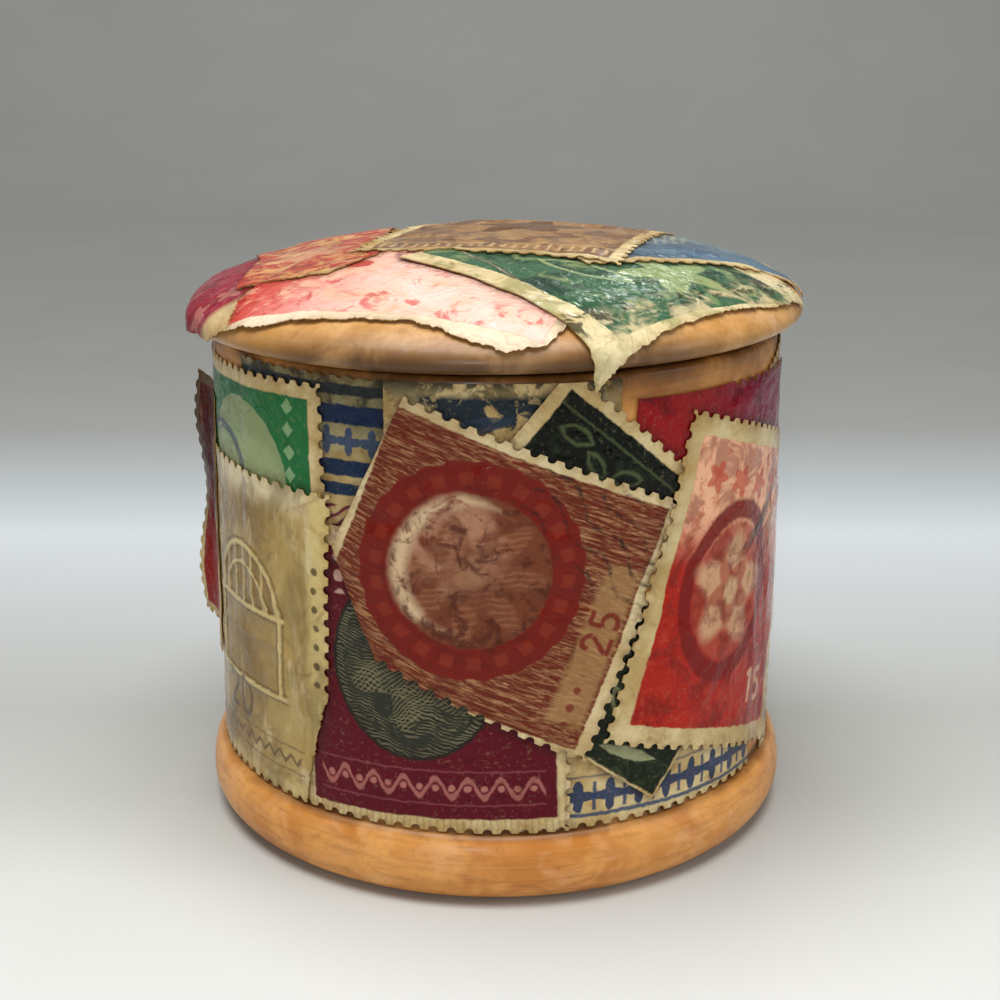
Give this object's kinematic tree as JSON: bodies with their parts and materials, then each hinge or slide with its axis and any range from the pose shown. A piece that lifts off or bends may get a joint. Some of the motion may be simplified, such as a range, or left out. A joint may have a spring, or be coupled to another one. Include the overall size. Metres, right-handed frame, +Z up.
{
  "type": "stamp covered box",
  "caption": "Small round turned wooden keepsake box with a lift-off domed lid, pasted all over with used postage stamps under varnish",
  "frame": {"origin": "the middle of the flat underside that the box rests on", "axes": "+Z up along the turning axis, -Y towards the viewer of the picture, +X to that viewer's right"},
  "size_m": [0.0502, 0.0495, 0.0474],
  "materials": {
    "cup_wood": "turned, stained and varnished, satin",
    "lid_wood": "turned, pale and varnished, satin",
    "paper_cream": "printed paper, aged, under glossy varnish",
    "paper_grey_blue": "printed paper, aged, under glossy varnish",
    "paper_violet": "printed paper, aged, under glossy varnish",
    "paper_red_brown": "printed paper, aged, under glossy varnish",
    "paper_blue": "printed paper, aged, under glossy varnish",
    "paper_maroon": "printed paper, aged, under glossy varnish",
    "paper_orange": "printed paper, aged, under glossy varnish",
    "paper_green": "printed paper, aged, under glossy varnish",
    "paper_dark_green": "printed paper, aged, under glossy varnish",
    "paper_crimson": "printed paper, aged, under glossy varnish",
    "paper_red": "printed paper, aged, under glossy varnish",
    "paper_olive": "printed paper, aged, under glossy varnish",
    "paper_pink": "printed paper, aged, under glossy varnish",
    "paper_brown": "printed paper, aged, under glossy varnish"
  },
  "bodies": {
    "cup": {"turned_cup": "cup_wood", "stamp_cream_bordered": "paper_cream", "stamp_back_slate": "paper_grey_blue", "stamp_back_lilac": "paper_violet", "stamp_back_rust": "paper_red_brown", "stamp_blue_ruled": "paper_blue", "stamp_grey_sketch": "paper_grey_blue", "stamp_maroon_plain": "paper_maroon", "stamp_back_ochre": "paper_orange", "stamp_back_leaf": "paper_green", "stamp_back_sky": "paper_blue", "stamp_green_arc": "paper_green", "stamp_maroon_oval": "paper_maroon", "stamp_green_upper": "paper_dark_green", "stamp_green_lower": "paper_dark_green", "stamp_back_carmine": "paper_crimson", "stamp_back_navy": "paper_blue", "stamp_back_brick": "paper_red", "stamp_brown_medallion": "paper_red_brown", "stamp_olive_arcade": "paper_olive", "stamp_red_torn": "paper_crimson", "stamp_red_upright": "paper_red"},
    "lid": {"turned_lid": "lid_wood", "lid_stamp_ochre": "paper_orange", "lid_stamp_pink": "paper_pink", "lid_stamp_lilac": "paper_violet", "lid_stamp_crimson": "paper_crimson", "lid_stamp_green": "paper_green", "lid_stamp_gold_red": "paper_orange", "lid_stamp_blue": "paper_grey_blue", "lid_stamp_brown": "paper_brown"}
  },
  "joints": [
    {"name": "lid_lift", "type": "slide", "parent": "cup", "child": "lid", "axis": [0, 0, 1], "range_m": [0, 0.05]}
  ]
}
